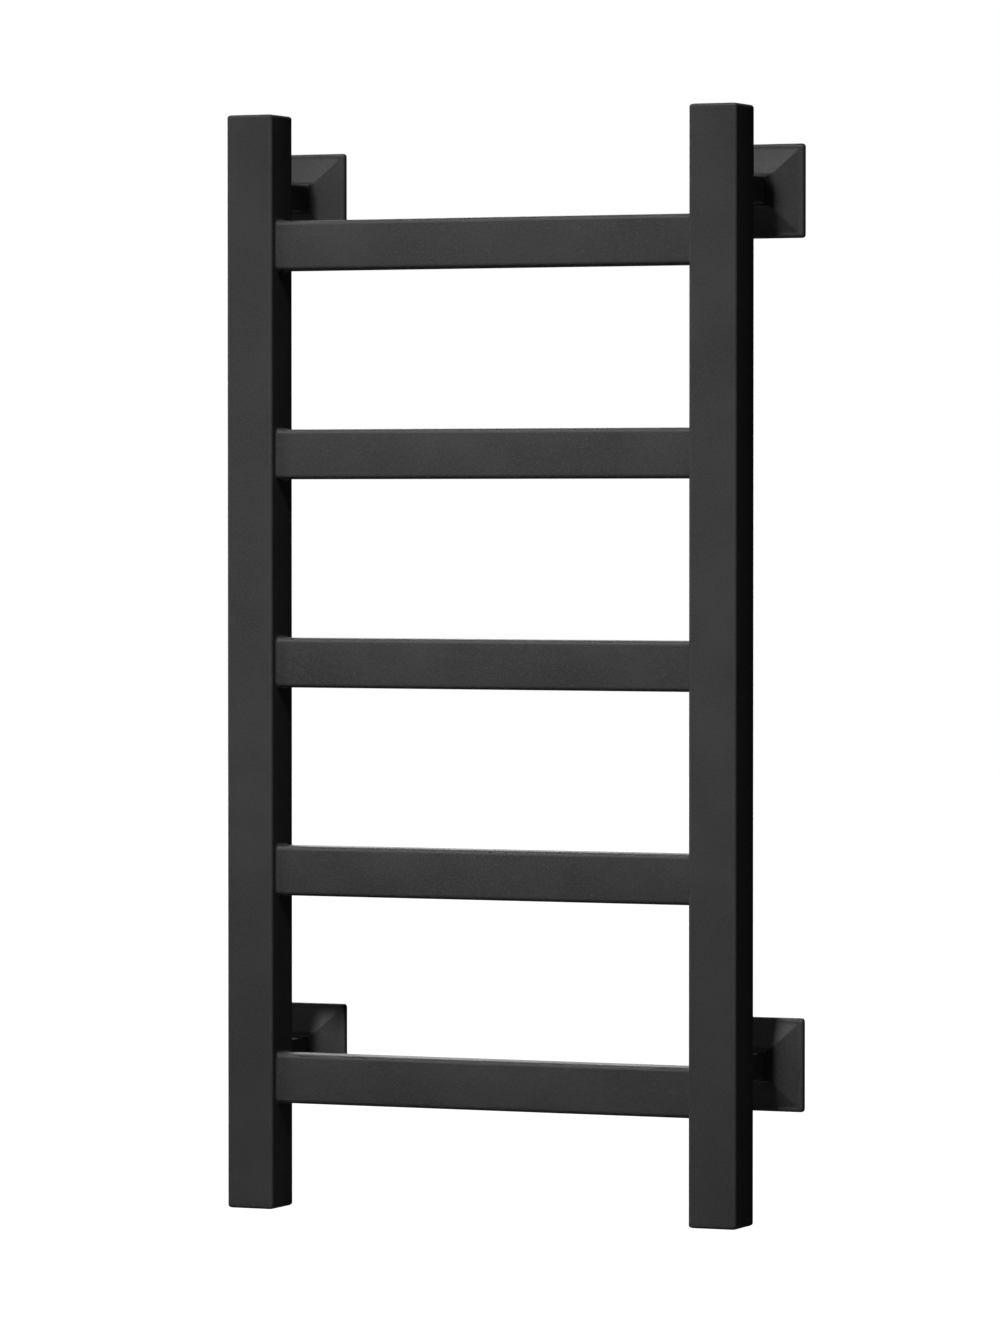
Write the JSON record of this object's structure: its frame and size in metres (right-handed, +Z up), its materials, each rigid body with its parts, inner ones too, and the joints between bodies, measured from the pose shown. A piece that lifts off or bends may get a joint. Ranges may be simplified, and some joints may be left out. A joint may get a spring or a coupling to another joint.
{
  "type": "towel warmer rack",
  "caption": "Wall-hung ladder towel warmer: square uprights, level rectangular rungs, and square posts ending in flared wall covers that slide forward.",
  "frame": {"origin": "centre of the wall-fixing pattern, on the wall plane", "axes": "+Z up along the uprights, +X to the right as seen from the room, +Y into the wall"},
  "size_m": [0.356, 0.08, 0.66],
  "materials": {
    "frame_powder_coat": "fine-textured matte black powder coat",
    "cover_powder_coat": "smoother matte black powder coat on zinc",
    "grip_rubber": "soft black rubber",
    "grommet_rubber": "black moulded rubber",
    "zinc_steel": "zinc-plated steel",
    "screw_steel": "black oxide steel",
    "heating_cable_silicone": "red-brown silicone sheath",
    "terminal_nylon": "off-white nylon",
    "terminal_brass": "nickel-free brass",
    "cutout_plastic": "dark grey moulded plastic",
    "tag_tinned_brass": "tinned brass",
    "earth_lead_sleeve": "green sleeved wire"
  },
  "bodies": {
    "rack": {"rung_1_top": "frame_powder_coat", "rung_2": "frame_powder_coat", "rung_3": "frame_powder_coat", "rung_4": "frame_powder_coat", "rung_5_bottom": "frame_powder_coat", "left_upright": "frame_powder_coat", "left_rung_welds": "frame_powder_coat", "left_top_cap": "frame_powder_coat", "left_bottom_cap": "frame_powder_coat", "right_upright": "frame_powder_coat", "right_rung_welds": "frame_powder_coat", "right_top_cap": "frame_powder_coat", "right_bottom_cap": "frame_powder_coat", "post_upper_left": "frame_powder_coat", "post_upper_right": "frame_powder_coat", "post_lower_left": "frame_powder_coat", "post_lower_right": "frame_powder_coat", "post_welds": "frame_powder_coat", "wall_foot_upper_left": "zinc_steel", "wall_foot_upper_right": "zinc_steel", "wall_foot_lower_left": "zinc_steel", "wall_foot_lower_right": "zinc_steel", "lock_screws": "screw_steel", "bottom_cap_screws": "screw_steel", "inlet_grommet": "grommet_rubber", "upright_grommet": "grommet_rubber", "heating_cable": "heating_cable_silicone", "cable_end_seal": "heating_cable_silicone", "terminal_carrier": "zinc_steel", "terminal_block": "terminal_nylon", "terminal_screws": "terminal_brass", "thermal_cutout": "cutout_plastic", "earth_screw": "terminal_brass", "earth_tag": "tag_tinned_brass", "earth_lead": "earth_lead_sleeve"},
    "upper_left_cover": {"cover_upper_left": "cover_powder_coat", "grip_ring_upper_left": "grip_rubber"},
    "upper_right_cover": {"cover_upper_right": "cover_powder_coat", "grip_ring_upper_right": "grip_rubber"},
    "lower_left_cover": {"cover_lower_left": "cover_powder_coat", "grip_ring_lower_left": "grip_rubber"},
    "lower_right_cover": {"cover_lower_right": "cover_powder_coat", "grip_ring_lower_right": "grip_rubber"}
  },
  "joints": [
    {"name": "upper_left_cover_slide", "type": "slide", "parent": "rack", "child": "upper_left_cover", "axis": [0, -1, 0], "range_m": [0, 0.03]},
    {"name": "upper_right_cover_slide", "type": "slide", "parent": "rack", "child": "upper_right_cover", "axis": [0, -1, 0], "range_m": [0, 0.03]},
    {"name": "lower_left_cover_slide", "type": "slide", "parent": "rack", "child": "lower_left_cover", "axis": [0, -1, 0], "range_m": [0, 0.03]},
    {"name": "lower_right_cover_slide", "type": "slide", "parent": "rack", "child": "lower_right_cover", "axis": [0, -1, 0], "range_m": [0, 0.03]}
  ]
}
